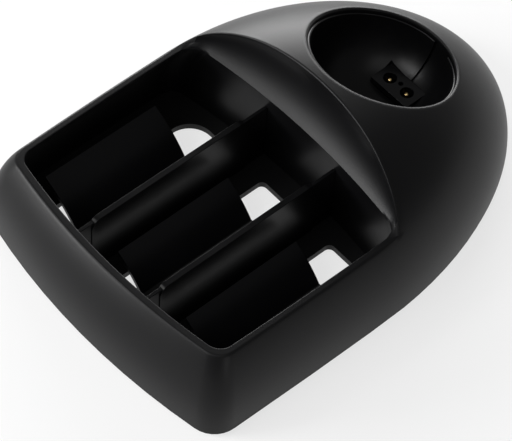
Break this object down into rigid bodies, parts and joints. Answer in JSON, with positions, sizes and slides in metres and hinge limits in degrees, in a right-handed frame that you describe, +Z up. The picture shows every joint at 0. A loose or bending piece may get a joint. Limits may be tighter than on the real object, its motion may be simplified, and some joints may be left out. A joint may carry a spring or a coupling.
{
  "type": "trimmer charging stand",
  "caption": "Low charging stand for a hair trimmer: a dome with a round well and contact pins at the back, and a divided tray with curved comb ramps in front.",
  "frame": {"origin": "on the table under the middle of the stand", "axes": "+Z up, +Y from the tray at the front to the dome at the back, +X to the right seen from the front"},
  "size_m": [0.1116, 0.1652, 0.051],
  "materials": {
    "satin_shell": "fine satin texture",
    "gloss_tray": "moulded gloss",
    "matt_ramp": "matt",
    "matt_cover": "matt",
    "gloss_cup": "moulded gloss",
    "contact_block": "moulded gloss",
    "contact_metal": "bright plated",
    "plated_steel": "zinc plated",
    "red_lead": "smooth insulation",
    "black_lead": "smooth insulation",
    "rubber_foot": "soft matt"
  },
  "bodies": {
    "root": {"housing": "satin_shell", "back_wall": "gloss_tray", "divider_left": "gloss_tray", "divider_right": "gloss_tray", "comb_ramp_left": "matt_ramp", "comb_ramp_middle": "matt_ramp", "comb_ramp_right": "matt_ramp", "bottom_cover": "matt_cover", "well_cup": "gloss_cup", "contact_block": "contact_block", "contact_pin_left": "contact_metal", "contact_pin_right": "contact_metal", "lug_left": "plated_steel", "lug_right": "plated_steel", "lead_left": "red_lead", "lead_right": "black_lead", "inlet_socket": "contact_block", "inlet_pin": "contact_metal", "screw_front_left": "plated_steel", "screw_front_right": "plated_steel", "screw_back_left": "plated_steel", "screw_back_right": "plated_steel", "foot_front_left": "rubber_foot", "foot_front_right": "rubber_foot", "foot_back_left": "rubber_foot", "foot_back_right": "rubber_foot"}
  },
  "joints": []
}
